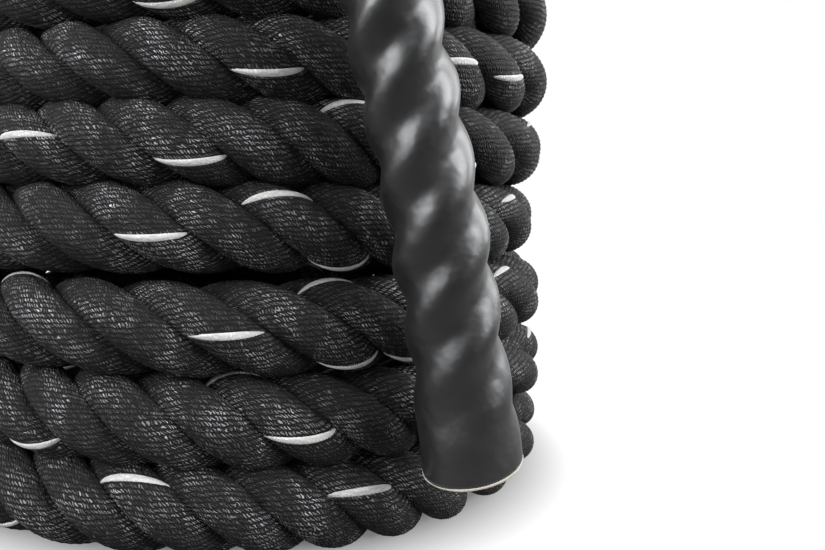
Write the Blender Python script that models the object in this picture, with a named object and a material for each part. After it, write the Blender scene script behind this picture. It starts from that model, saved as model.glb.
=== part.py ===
"""Battle rope: one 12 m length of three-strand training rope, wound into a free-standing coil.

The coil is a single stack of turns. Its first turn lies on the floor, and every turn climbs onto
the one below along the back. The top end leaves the stack at the front, bends over its edge and
hangs down the outside as a grip. The bottom end lies on the floor round the back. At each end the
cut rope is bound with tape and wears a shrink sleeve, which takes the shape of the three strands.

Metres, +Z up, the front along -Y. An azimuth is an angle in degrees round the coil's axis from
the front, growing to the right, so the rope climbs anticlockwise as seen from above.
"""

import math

import bmesh
import bpy
import numpy as np
from mathutils import Matrix

# Rope
ROPE_LENGTH = 12.0
ROPE_DIAMETER = 0.038
STRANDS = 3

# Coil
FULL_TURNS = 10
ROW_GAP = 0.0005  # between one turn of the round rope and the next
START_AZIMUTH = -120.0  # where the first turn leaves the bottom end
LEAVE_AZIMUTH = -45.0  # where the top end leaves the last turn
CLIMB_ARC = 120.0  # the stretch along the back over which a turn climbs onto the one below
POINTS_PER_TURN = 24
COIL_BEVEL_RESOLUTION = 1
CUT_DEPTH_SHARE = 0.1  # of the diameter, cut flat where the coil stands on the floor

# Free ends
END_FACE_GAP = 0.0003  # between the coil's end faces and the free ends
STRAIGHT_SHARES = (1.0, 1.5)  # of the diameter, run straight by the coil's end, then by the free end
END_POINT_SPACING = 0.03
END_BEVEL_RESOLUTION = 4
SQUEEZE_LENGTH = 0.03  # over which the rope narrows on its way into the sleeve
SQUEEZED_RADIUS = 0.0155  # of the rope where the sleeve grips it
CUT_RECESS = 0.003  # the cut end lies this far inside the sleeve's rim

# Grip sleeves
SLEEVE_LENGTH = 0.3
SLEEVE_FIT = 0.0009  # between the squeezed rope and the bore
SLEEVE_WALL = 0.0011  # in the valleys between strands
STRAND_BULGE = 0.0024  # a strand lifts the sleeve this far above its valleys
SLEEVE_LAY = 0.092  # the length in which a strand goes once round under the sleeve
RIM_RADIUS = 0.0204  # the open end, widened by the bound rope in it
SLEEVE_SIDES = 18
SLEEVE_STATIONS = 15
BORE_BEVEL_RESOLUTION = 6
BORE_OVERRUN = 0.004

# Tape that binds each cut end, under the sleeve
BINDING_LENGTH = 0.04  # counted from the sleeve's rim
BINDING_THICKNESS = 0.0009
BINDING_FIT = 0.0008  # between the tape and the rope in it
BINDING_STEP = 0.0012  # the run over which the rope narrows, and as far again before the tape

# Floor
FLOOR_CUTTER_DEPTH = 0.05

# The top end's way from the coil, past its straight run. Each point has its degrees from
# LEAVE_AZIMUTH, then its distance outwards from the turns' centreline and up from the top turn,
# both as shares of the rope's diameter: over the edge in one easy bend, then down the stack's
# side, leaning to the right.
TOP_ROUTE_SHARES = (
    (25.5, 0.46, 0.0),
    (31.2, 0.67, -0.04),
    (36.5, 0.87, -0.17),
    (41.4, 1.06, -0.37),
    (45.8, 1.22, -0.65),
    (49.4, 1.33, -1.01),
    (52.4, 1.40, -1.42),
    (54.6, 1.43, -1.88),
    (56.4, 1.43, -2.36),
    (57.9, 1.40, -2.87),
    (59.3, 1.34, -3.37),
    (60.6, 1.27, -3.88),
    (61.9, 1.20, -4.39),
    (63.2, 1.15, -4.90),
    (66.0, 1.12, -5.90),
    (68.2, 1.12, -6.75),
    (70.0, 1.12, -7.60),
    (71.7, 1.13, -8.50),
    (73.2, 1.14, -9.38),
)

# The bottom end's way along the floor, in the same measures from START_AZIMUTH and the first turn.
BOTTOM_ROUTE_SHARES = (
    (-24.5, 0.43, 0.02),
    (-31.0, 0.66, 0.07),
    (-38.0, 0.90, 0.13),
    (-45.5, 1.09, 0.17),
    (-53.5, 1.21, 0.18),
    (-62.0, 1.27, 0.18),
    (-71.0, 1.28, 0.18),
    (-80.0, 1.28, 0.18),
    (-89.0, 1.28, 0.18),
    (-98.0, 1.28, 0.18),
    (-107.0, 1.28, 0.18),
    (-116.0, 1.28, 0.18),
    (-125.0, 1.28, 0.18),
)

CIRCLE = 360.0
ROW_PITCH = ROPE_DIAMETER + ROW_GAP
ROPE_RADIUS = ROPE_DIAMETER / 2
BORE_RADIUS = SQUEEZED_RADIUS + SLEEVE_FIT
WELD = ROW_GAP / 10  # joins a curve's caps to its sides
PATH_STEP = ROPE_DIAMETER / 19  # of the fine points that the free ends' paths are read from
GAP_STEP = ROPE_DIAMETER / 8  # of the points that the coil's least gap is measured on
RADIUS_HALVINGS = 40


def bevel_sides(resolution: int) -> int:
    """How many sides a curve's round bevel has at this resolution."""
    return 4 + 2 * resolution


def corner_radius(radius: float, resolution: int) -> float:
    """Centre to corner of the faceted section with the area of a circle of this radius."""
    wedge = math.tau / bevel_sides(resolution)
    return radius * math.sqrt(wedge / math.sin(wedge))


COIL_CORNER = corner_radius(ROPE_RADIUS, COIL_BEVEL_RESOLUTION)
COIL_FLAT = COIL_CORNER * math.cos(math.pi / bevel_sides(COIL_BEVEL_RESOLUTION))
FIRST_TURN_HEIGHT = COIL_FLAT - CUT_DEPTH_SHARE * ROPE_DIAMETER
LAST_AZIMUTH = LEAVE_AZIMUTH + CIRCLE * FULL_TURNS


def at(azimuth: float, radius: float, height: float) -> np.ndarray:
    """The point at this azimuth, distance from the coil's axis and height."""
    angle = math.radians(azimuth)
    return np.array([radius * math.sin(angle), -radius * math.cos(angle), height])


def heading(azimuth: float) -> np.ndarray:
    """The level direction in which the rope runs at this azimuth on its way up the coil."""
    angle = math.radians(azimuth)
    return np.array([math.cos(angle), math.sin(angle), 0])


def turn_height(azimuth: float) -> float:
    """Height of the rope's centre at this azimuth, counted on through the turns."""
    wound = azimuth - START_AZIMUTH
    level = math.floor(wound / CIRCLE)
    climbed = max(0, (wound % CIRCLE - (CIRCLE - CLIMB_ARC)) / CLIMB_ARC)
    eased = (1 - math.cos(math.pi * climbed)) / 2
    return FIRST_TURN_HEIGHT + ROW_PITCH * (level + math.sin(math.pi / 2 * eased))


def turns(radius: float) -> list[np.ndarray]:
    """The coil's centreline, with the straight run at each of its ends."""
    count = round((LAST_AZIMUTH - START_AZIMUTH) * POINTS_PER_TURN / CIRCLE)
    azimuths = np.linspace(START_AZIMUTH, LAST_AZIMUTH, count + 1)
    points = [at(azimuth, radius, turn_height(azimuth)) for azimuth in azimuths]
    straight = STRAIGHT_SHARES[0] * ROPE_DIAMETER
    first = points[0] - straight * heading(START_AZIMUTH)
    last = points[-1] + straight * heading(LEAVE_AZIMUTH)
    return [first, *points, last]


def lengths_along(points: np.ndarray) -> np.ndarray:
    """Each point's distance from the first, measured along the run through them."""
    return np.concatenate([[0], np.cumsum(np.linalg.norm(np.diff(points, axis=0), axis=1))])


def smooth(route: list[np.ndarray]) -> np.ndarray:
    """Fine points on the cubic spline through the route, which starts and ends straight on."""
    points = np.array(route)
    knots = lengths_along(points)
    spans = np.diff(knots)
    slopes = np.diff(points, axis=0) / spans[:, None]
    count = len(points)
    system = np.eye(count)
    sides = np.zeros((count, 3))
    sides[0], sides[-1] = slopes[0], slopes[-1]
    for i in range(1, count - 1):
        before, after = spans[i - 1], spans[i]
        system[i, i - 1 : i + 2] = after, 2 * (before + after), before
        sides[i] = 3 * (after * slopes[i - 1] + before * slopes[i])
    tangents = np.linalg.solve(system, sides)
    fine = []
    for distance in np.linspace(0, knots[-1], round(knots[-1] / PATH_STEP) + 1):
        i = min(int(np.searchsorted(knots, distance, side="right")) - 1, count - 2)
        t = (distance - knots[i]) / spans[i]
        start = (1 + 2 * t) * (1 - t) ** 2 * points[i]
        leaving = t * (1 - t) ** 2 * spans[i] * tangents[i]
        end = t**2 * (3 - 2 * t) * points[i + 1]
        arriving = t**2 * (t - 1) * spans[i] * tangents[i + 1]
        fine.append(start + leaving + end + arriving)
    return np.array(fine)


def end_path(azimuth: float, radius: float, way: int, shares: tuple) -> np.ndarray:
    """A free end's centreline from the turn that it leaves at this azimuth.

    The way is 1 where the end leads on up the winding, and -1 where it leads back.
    """
    level = turn_height(LAST_AZIMUTH if way > 0 else START_AZIMUTH)
    start, onwards = at(azimuth, radius, level), way * ROPE_DIAMETER * heading(azimuth)
    route = [start, *(start + share * onwards for share in STRAIGHT_SHARES)]
    for degrees, out, up in shares:
        reach, height = radius + out * ROPE_DIAMETER, level + up * ROPE_DIAMETER
        route.append(at(azimuth + degrees, reach, height))
    return smooth(route)


def end_paths(radius: float) -> tuple[np.ndarray, np.ndarray]:
    """The centrelines of the top end and the bottom end on a coil of this radius."""
    top = end_path(LEAVE_AZIMUTH, radius, 1, TOP_ROUTE_SHARES)
    bottom = end_path(START_AZIMUTH, radius, -1, BOTTOM_ROUTE_SHARES)
    return top, bottom


def rope_length(radius: float) -> float:
    """The whole rope's length on a coil of this radius: the round turns and both ends."""
    wound = math.radians(LAST_AZIMUTH - START_AZIMUTH) * radius
    return wound + sum(lengths_along(path)[-1] for path in end_paths(radius))


def coil_radius() -> float:
    """The centreline radius at which the turns and the ends take up the whole rope."""
    low, high = ROPE_DIAMETER, ROPE_LENGTH / FULL_TURNS
    for _ in range(RADIUS_HALVINGS):
        middle = (low + high) / 2
        low, high = (middle, high) if rope_length(middle) < ROPE_LENGTH else (low, middle)
    return (low + high) / 2


def least_gap(points: list[np.ndarray]) -> float:
    """The least gap between one turn and another, flat side to flat side."""
    run = np.array(points)
    knots = lengths_along(run)
    distances = np.arange(0, knots[-1], GAP_STEP)
    fine = np.column_stack([np.interp(distances, knots, run[:, axis]) for axis in range(3)])
    apart = round(len(fine) / FULL_TURNS / 2)
    centres = min(
        np.linalg.norm(fine[i + apart :] - fine[i], axis=1).min()
        for i in range(len(fine) - apart)
    )
    return float(centres) - 2 * COIL_FLAT


def place(path: np.ndarray, distance: float) -> np.ndarray:
    """The point at this distance along a path, which runs on straight past its end."""
    knots = lengths_along(path)
    inside = min(distance, knots[-1])
    onwards = (path[-1] - path[-2]) / (knots[-1] - knots[-2])
    point = np.array([np.interp(inside, knots, path[:, axis]) for axis in range(3)])
    return point + (distance - inside) * onwards


def direction(path: np.ndarray, distance: float) -> np.ndarray:
    """The direction in which a path runs at this distance."""
    step = place(path, distance + PATH_STEP) - place(path, distance - PATH_STEP)
    return step / np.linalg.norm(step)


def stations(path: np.ndarray) -> np.ndarray:
    """The distances along a path at which a sleeve and what is in it have their sections."""
    rim = lengths_along(path)[-1]
    return np.linspace(rim - SLEEVE_LENGTH, rim, SLEEVE_STATIONS + 1)


def widening(to_rim: float) -> float:
    """The share, at this distance from the sleeve's rim, of its widening over the binding."""
    return max(0, 1 - max(0, to_rim) / BINDING_LENGTH)


def bore_radius(to_rim: float) -> float:
    """The radius of the sleeve's bore at this distance from its rim."""
    return BORE_RADIUS + widening(to_rim) * (RIM_RADIUS - SLEEVE_WALL - BORE_RADIUS)


def outer_radius(to_rim: float, angle: float) -> float:
    """The radius of the sleeve's outside, at an angle counted from the crown of a strand."""
    crown = (1 + math.cos(STRANDS * angle)) / 2
    over_strands = BORE_RADIUS + SLEEVE_WALL + STRAND_BULGE * crown
    return over_strands + widening(to_rim) * (RIM_RADIUS - over_strands)


def link(shape: bpy.types.Object, collection: bpy.types.Collection) -> bpy.types.Object:
    """Puts the object in this collection alone."""
    for holder in list(shape.users_collection):
        holder.objects.unlink(shape)
    collection.objects.link(shape)
    return shape


def tube(name: str, points, radii, resolution: int, twist: str = "MINIMUM") -> bpy.types.Object:
    """A closed round tube along these points, as a mesh object.

    The radii are those of the round tube, and its faceted section has the same area.
    """
    curve = bpy.data.curves.new(name, "CURVE")
    curve.dimensions = "3D"
    curve.twist_mode = twist
    curve.use_fill_caps = True
    curve.bevel_depth = corner_radius(ROPE_RADIUS, resolution)
    curve.bevel_resolution = resolution
    spline = curve.splines.new("POLY")
    spline.points.add(len(points) - 1)
    for control, point, radius in zip(spline.points, points, radii, strict=True):
        control.co = (*point, 1)
        control.radius = radius / ROPE_RADIUS
    bent = bpy.data.objects.new(name, curve)
    bpy.context.scene.collection.objects.link(bent)
    graph = bpy.context.evaluated_depsgraph_get()
    mesh = bpy.data.meshes.new_from_object(bent.evaluated_get(graph))
    solid = bpy.data.objects.new(f"{name}_solid", mesh)
    solid.matrix_world = bent.matrix_world
    bpy.data.objects.remove(bent)
    solid.name = mesh.name = name
    work = bmesh.new()
    work.from_mesh(mesh)
    bmesh.ops.remove_doubles(work, verts=work.verts, dist=WELD)
    bmesh.ops.recalc_face_normals(work, faces=work.faces)
    work.to_mesh(mesh)
    work.free()
    return solid


def coil(radius: float) -> bpy.types.Object:
    """The wound rope, one unbroken tube whose sections stand with a flat side down."""
    points = turns(radius)
    radii = [ROPE_RADIUS] * len(points)
    return tube("rope_coil", points, radii, COIL_BEVEL_RESOLUTION, "Z_UP")


def free_end(name: str, path: np.ndarray) -> bpy.types.Object:
    """The rope from the coil's end face to its cut end, squeezed in its sleeve and binding."""
    gripped = stations(path)
    mouth, rim = gripped[0], gripped[-1]
    face, straight = (share * ROPE_DIAMETER for share in STRAIGHT_SHARES)
    squeeze = mouth - SQUEEZE_LENGTH
    narrowed, last = rim - BINDING_LENGTH - BINDING_STEP, rim - CUT_RECESS
    steps = max(1, round((squeeze - straight) / END_POINT_SPACING))
    free = [face + END_FACE_GAP, *np.linspace(straight, squeeze, steps + 1)]
    wide = narrowed - BINDING_STEP
    squeezed = [*gripped[gripped < wide - WELD], wide]
    taped = [narrowed, *gripped[(gripped > narrowed + BINDING_STEP + WELD) & (gripped < last)], last]
    wraps = SLEEVE_FIT + BINDING_THICKNESS + BINDING_FIT
    radii = [ROPE_RADIUS] * len(free) + [SQUEEZED_RADIUS] * len(squeezed)
    radii += [bore_radius(rim - distance) - wraps for distance in taped]
    points = [place(path, distance) for distance in (*free, *squeezed, *taped)]
    return tube(name, points, radii, END_BEVEL_RESOLUTION)


def binding(name: str, path: np.ndarray) -> tuple[bpy.types.Object, bpy.types.Object]:
    """The tape round a cut end, and the cutter that leaves room in it for the rope."""
    gripped = stations(path)
    rim = gripped[-1]
    bound, last = rim - BINDING_LENGTH, rim - CUT_RECESS
    distances = [bound, *gripped[(gripped > bound + WELD) & (gripped < last)], last]
    radii = [bore_radius(rim - distance) - SLEEVE_FIT for distance in distances]
    tape = tube(name, [place(path, distance) for distance in distances], radii, END_BEVEL_RESOLUTION)
    distances = [bound - BORE_OVERRUN, *distances, last + BORE_OVERRUN]
    radii = [radius - BINDING_THICKNESS for radius in (radii[0], *radii, radii[-1])]
    points = [place(path, distance) for distance in distances]
    return tape, tube(f"{name}_bore", points, radii, END_BEVEL_RESOLUTION)


def sleeve(name: str, path: np.ndarray) -> tuple[bpy.types.Object, bpy.types.Object]:
    """A grip sleeve, and the cutter that leaves room in it for the rope.

    It is a loft between sections that bulge over the strands, round at the rim. The strands turn
    by one corner from a section to the next, so each crown runs along the facets' edges.
    """
    rim = lengths_along(path)[-1]
    work = bmesh.new()
    rings = []
    for distance in np.linspace(
        rim - SLEEVE_LENGTH, rim, round(SLEEVE_LENGTH / SLEEVE_LAY * SLEEVE_SIDES) + 1
    ):
        centre, along = place(path, distance), direction(path, distance)
        out = centre * np.array([1, 1, 0])
        out -= out.dot(along) * along
        out /= np.linalg.norm(out)
        across = np.cross(along, out)
        ring = []
        for corner in range(SLEEVE_SIDES):
            angle = math.tau * corner / SLEEVE_SIDES
            turned = math.tau * len(rings) / SLEEVE_SIDES
            radius = outer_radius(rim - distance, angle - turned)
            offset = radius * (math.cos(angle) * out + math.sin(angle) * across)
            ring.append(work.verts.new(centre + offset))
        rings.append(ring)
    for before, after in zip(rings, rings[1:]):
        for i in range(SLEEVE_SIDES):
            j = (i + 1) % SLEEVE_SIDES
            work.faces.new((before[i], before[j], after[j]))
            work.faces.new((before[i], after[j], after[i]))
    work.faces.new(reversed(rings[0]))
    work.faces.new(rings[-1])
    mesh = bpy.data.meshes.new(name)
    work.to_mesh(mesh)
    work.free()
    gripped = stations(path)
    distances = [gripped[0] - BORE_OVERRUN, *gripped, rim + BORE_OVERRUN]
    radii = [bore_radius(rim - distance) for distance in distances]
    points = [place(path, distance) for distance in distances]
    shell = bpy.data.objects.new(name, mesh)
    return shell, tube(f"{name}_bore", points, radii, BORE_BEVEL_RESOLUTION)


def floor_cutter(width: float) -> bpy.types.Object:
    """A slab of this width under the floor."""
    bpy.ops.mesh.primitive_cube_add(size=1)
    slab = bpy.context.object
    slab.name = "floor_cutter"
    slab.data.transform(Matrix.Diagonal((width, width, FLOOR_CUTTER_DEPTH, 1)))
    slab.location.z = -FLOOR_CUTTER_DEPTH / 2
    return slab


def cut(target: bpy.types.Object, cutter: bpy.types.Object) -> None:
    """Takes the cutter's shape out of the target."""
    modifier = target.modifiers.new(f"cut_{cutter.name}", "BOOLEAN")
    modifier.operation = "DIFFERENCE"
    modifier.solver = "EXACT"
    modifier.object = cutter
    cutter.hide_render = True
    cutter.display_type = "WIRE"


def finish(name: str, colour: tuple[float, float, float], roughness: float) -> bpy.types.Material:
    """A plain material of this colour and roughness."""
    material = bpy.data.materials.new(name)
    material.use_nodes = True
    shader = material.node_tree.nodes["Principled BSDF"]
    shader.inputs["Base Color"].default_value = (*colour, 1)
    shader.inputs["Roughness"].default_value = roughness
    shader.inputs["Metallic"].default_value = 0
    return material


def stand_centred(axis: bpy.types.Object, pieces: list[bpy.types.Object]) -> None:
    """Moves the coil's axis so that the middle of the pieces' box is over the origin."""
    bpy.context.view_layer.update()
    graph = bpy.context.evaluated_depsgraph_get()
    corners = [corner for piece in pieces for corner in piece.evaluated_get(graph).bound_box]
    for axis_index in range(2):
        sides = [corner[axis_index] for corner in corners]
        axis.location[axis_index] = -(min(sides) + max(sides)) / 2


def main() -> None:
    """Builds the rope in its collections and prints its measures."""
    for stale in list(bpy.data.objects):
        bpy.data.objects.remove(stale)
    scene = bpy.context.scene.collection
    pieces, cutters = (bpy.data.collections.new(name) for name in ("battle_rope", "cutters"))
    scene.children.link(pieces)
    scene.children.link(cutters)
    axis = link(bpy.data.objects.new("coil_axis", None), pieces)
    radius = coil_radius()
    top, bottom = end_paths(radius)

    rope = finish("black_rope", (0.016, 0.017, 0.02), 0.8)
    rubber = finish("gloss_sleeve", (0.012, 0.011, 0.011), 0.25)
    tape = finish("black_tape", (0.03, 0.03, 0.03), 0.5)
    floor = floor_cutter(4 * (radius + ROPE_DIAMETER))
    tools = [floor]
    made = [(coil(radius), rope)]
    cut(made[0][0], floor)
    for side, path in (("top", top), ("bottom", bottom)):
        end = free_end(f"rope_{side}_end", path)
        wrap, wrap_bore = binding(f"end_binding_{side}", path)
        shell, shell_bore = sleeve(f"grip_sleeve_{side}", path)
        cut(wrap, wrap_bore)
        cut(shell, shell_bore)
        made += [(end, rope), (wrap, tape), (shell, rubber)]
        tools += [wrap_bore, shell_bore]
        if path is bottom:
            cut(end, floor)
    for shape, material in made:
        shape.data.materials.append(material)
        shape.data.shade_smooth()
        shape.data.set_sharp_from_angle(angle=math.radians(40))
        link(shape, pieces).parent = axis
    for shape in tools:
        link(shape, cutters).parent = axis
    stand_centred(axis, [shape for shape, _ in made])

    lengths = [float(lengths_along(path)[-1]) for path in (top, bottom)]
    print(f"Centreline radius {radius:.4f} m, free ends {lengths[0]:.3f} m and {lengths[1]:.3f} m")
    print(f"Least gap of the coil to itself {least_gap(turns(radius)):.4f} m")


if __name__ == "__main__":
    main()
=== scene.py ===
"""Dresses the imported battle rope: a laid black rope in a coil, with a glossy grip on each end."""

import logging
import math
from dataclasses import dataclass, field
from enum import Enum

import bpy
import numpy as np
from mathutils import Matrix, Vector


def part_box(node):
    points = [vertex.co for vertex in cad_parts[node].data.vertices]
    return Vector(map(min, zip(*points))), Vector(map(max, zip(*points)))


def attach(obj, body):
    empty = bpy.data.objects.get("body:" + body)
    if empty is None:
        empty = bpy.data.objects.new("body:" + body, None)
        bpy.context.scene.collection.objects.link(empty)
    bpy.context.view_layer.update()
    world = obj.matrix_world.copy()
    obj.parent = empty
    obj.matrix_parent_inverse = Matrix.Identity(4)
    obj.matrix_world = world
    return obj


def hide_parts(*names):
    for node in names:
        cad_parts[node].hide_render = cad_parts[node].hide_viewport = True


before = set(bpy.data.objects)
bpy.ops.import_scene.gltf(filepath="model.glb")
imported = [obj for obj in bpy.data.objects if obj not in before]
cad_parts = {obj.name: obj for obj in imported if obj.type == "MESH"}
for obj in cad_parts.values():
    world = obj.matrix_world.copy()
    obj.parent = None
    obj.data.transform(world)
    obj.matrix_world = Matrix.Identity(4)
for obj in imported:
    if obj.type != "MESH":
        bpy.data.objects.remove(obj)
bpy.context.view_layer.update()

LOG = logging.getLogger("battle_rope")

# What a node's input takes: a link, or a number or colour of its own.
Feed = bpy.types.NodeSocket | float | tuple[float, ...]
Triple = tuple[float, float, float]

CIRCLE = 360.0
MILLIMETRES = 1000
ROPE_DIAMETER = 0.038
STRANDS = 3
SLEEVE_LENGTH = 0.3
BAKE_MAP = "OFBake"
LAY_MAP = "lay"

# Degrees on from where the end leaves the coil, and rope diameters out from it and up.
TOP_ROUTE_SHARES = (
    (25.5, 0.46, 0.0),
    (31.2, 0.67, -0.04),
    (36.5, 0.87, -0.17),
    (41.4, 1.06, -0.37),
    (45.8, 1.22, -0.65),
    (49.4, 1.33, -1.01),
    (52.4, 1.40, -1.42),
    (54.6, 1.43, -1.88),
    (56.4, 1.43, -2.36),
    (57.9, 1.40, -2.87),
    (59.3, 1.34, -3.37),
    (60.6, 1.27, -3.88),
    (61.9, 1.20, -4.39),
    (63.2, 1.15, -4.90),
    (66.0, 1.12, -5.90),
    (68.2, 1.12, -6.75),
    (70.0, 1.12, -7.60),
    (71.7, 1.13, -8.50),
    (73.2, 1.14, -9.38),
)
BOTTOM_ROUTE_SHARES = (
    (-24.5, 0.43, 0.02),
    (-31.0, 0.66, 0.07),
    (-38.0, 0.90, 0.13),
    (-45.5, 1.09, 0.17),
    (-53.5, 1.21, 0.18),
    (-62.0, 1.27, 0.18),
    *((-71.0 - 9.0 * i, 1.28, 0.18) for i in range(7)),
)

# Turn and azimuth in it, and how far the wound rope sits out and up there, in millimetres.
WINDING_DRIFT = (
    (0, -120, 0.0, 0.0),
    (0, 0, 0.0, 0.0),
    (0, 67, -1.0, 0.5),
    (0, 180, 0.5, 6.0),
    (1, 0, 0.0, 2.4),
    (1, 67, 0.5, 3.2),
    (1, 180, -1.0, 3.4),
    (2, 0, 0.5, 2.4),
    (2, 67, 0.6, 2.2),
    (2, 180, 1.0, 1.6),
    (2, 262, 0.3, 0.6),
    (3, 0, -0.5, 6.5),
    (3, 67, -2.5, 2.7),
    (3, 180, -1.0, -0.4),
    (4, 0, -1.0, 3.7),
    (4, 67, 1.8, 2.2),
    (4, 180, 1.5, -2.8),
    (5, 0, -1.5, -0.8),
    (5, 67, 5.0, 1.2),
    (5, 180, 0.0, -5.2),
    (5, 262, -0.4, -3.8),
    (6, 0, 0.0, -4.3),
    (6, 67, 5.5, -0.8),
    (6, 180, 1.0, -7.6),
    (6, 262, 0.5, -6.9),
    (7, 0, 0.5, -5.8),
    (7, 67, 3.0, -2.8),
    (7, 180, -1.0, -9.8),
    (7, 262, 0.2, -9.5),
    (8, 0, -1.0, -6.8),
    (8, 67, 1.0, -4.3),
    (8, 180, 0.5, -12.0),
    (8, 262, -0.3, -12.1),
    (9, 0, 1.0, -7.3),
    (9, 67, 0.5, -5.3),
    (9, 180, 0.0, -14.0),
    (9, 262, 0.3, -15.1),
    (10, -45, 0.0, -7.8),
)

# Turn and azimuth in it, and how many degrees the strands are twisted on there.
STRAND_TWIST = (
    (0, -120, 0),
    (0, -9, 0),
    (0, 18, 33),
    (0, 67, 47),
    (0, 176, 78),
    (1, -2, 30),
    (1, 11, 44),
    (1, 67, 47),
    (1, 136, 80),
    (2, 1, 25),
    (2, 18, 8),
    (2, 67, 47),
    (3, -8, 23),
    (3, 10, 22),
    (3, 67, 47),
    (4, -3, -10),
    (4, 18, 5),
    (4, 67, 47),
    (5, 7, -13),
    (5, 22, -4),
    (5, 67, 47),
    (6, -7, 42),
    (6, 67, 47),
    (7, 0, -12),
    (8, 0, 14),
    (9, 0, -6),
    (10, -45, 0),
)

# Turn, azimuth and angle up from level where the white yarn shows on the turns in front.
TRACER_SHOWS = (
    (0, -9, 45),
    (0, 18.6, 26),
    (0, 52, 70),
    (0, 86, -10),
    (1, -2, 95),
    (1, 10.6, -6),
    (1, 43, 60),
    (2, 1, 2),
    (2, 18.3, 85),
    (2, 18.3, -50),
    (2, 25.5, -46),
    (2, 52, 62),
    (3, -8.1, -6),
    (3, 8, 45),
    (3, 19, -60),
    (3, 48, 20),
    (4, -3, -30),
    (4, 17.5, 60),
    (4, 39.1, -34),
    (5, 6.6, -22),
    (5, 37.8, -2),
    (5, 44.3, -18),
    (6, -6.9, -46),
    (6, 30, 30),
)
FRONT_SECTOR = (-25.0, 62.0)
FRONT_TURNS = 7


class Slot(Enum):
    """Names of the record's material slots, passed along with the scene's own pieces."""

    ROPE = "black_rope"
    SLEEVE = "gloss_sleeve"


class End(Enum):
    """The two ends of the rope."""

    TOP = "top"
    BOTTOM = "bottom"


def around(azimuth: float, radius: float, height: float) -> np.ndarray:
    """The point at this azimuth, distance from the coil's axis and height."""
    angle = math.radians(azimuth)
    return np.array([radius * math.sin(angle), -radius * math.cos(angle), height])


def onwards(azimuth: float) -> np.ndarray:
    """The level direction in which the rope runs at this azimuth on its way up the coil."""
    angle = math.radians(azimuth)
    return np.array([math.cos(angle), math.sin(angle), 0])


def distances(points: np.ndarray) -> np.ndarray:
    """Each point's distance from the first, along the run through them."""
    steps = np.linalg.norm(np.diff(points, axis=0), axis=1)
    return np.concatenate([[0], np.cumsum(steps)])


def spline_tangents(points: np.ndarray, knots: np.ndarray) -> np.ndarray:
    """The tangents of the cubic spline through points, which starts and ends straight on.

    Args:
        points: The points that the spline passes through, one row each.
        knots: Where each point lies along the spline.

    Returns:
        The spline's slope at each point.
    """
    spans = np.diff(knots)
    slopes = np.diff(points, axis=0) / spans[:, None]
    count = len(points)
    system = np.eye(count)
    sides = np.zeros(points.shape)
    sides[0], sides[-1] = slopes[0], slopes[-1]
    for i in range(1, count - 1):
        before, after = spans[i - 1], spans[i]
        system[i, i - 1 : i + 2] = after, 2 * (before + after), before
        sides[i] = 3 * (after * slopes[i - 1] + before * slopes[i])
    return np.linalg.solve(system, sides)


def spline(points: np.ndarray, knots: np.ndarray, wanted: np.ndarray) -> np.ndarray:
    """Values at the wanted places on the cubic spline through points.

    Args:
        points: The points that the spline passes through, one row each.
        knots: Where each point lies along the spline.
        wanted: The places along the spline to evaluate.

    Returns:
        One row for each wanted place.
    """
    tangents = spline_tangents(points, knots)
    spans = np.diff(knots)
    i = np.clip(np.searchsorted(knots, wanted, side="right") - 1, 0, len(points) - 2)
    t = ((wanted - knots[i]) / spans[i])[:, None]
    span = spans[i][:, None]
    start = (1 + 2 * t) * (1 - t) ** 2 * points[i]
    leaving = t * (1 - t) ** 2 * span * tangents[i]
    end = t**2 * (3 - 2 * t) * points[i + 1]
    arriving = t**2 * (t - 1) * span * tangents[i + 1]
    return start + leaving + end + arriving


def eased(low: float, high: float, value: np.ndarray) -> np.ndarray:
    """A share that rises smoothly from 0 at low to 1 at high."""
    share = np.clip((value - low) / (high - low), 0, 1)
    return share * share * (3 - 2 * share)


def unit(rows: np.ndarray) -> np.ndarray:
    """Each row scaled to length 1."""
    return rows / np.linalg.norm(rows, axis=-1, keepdims=True)


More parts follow.
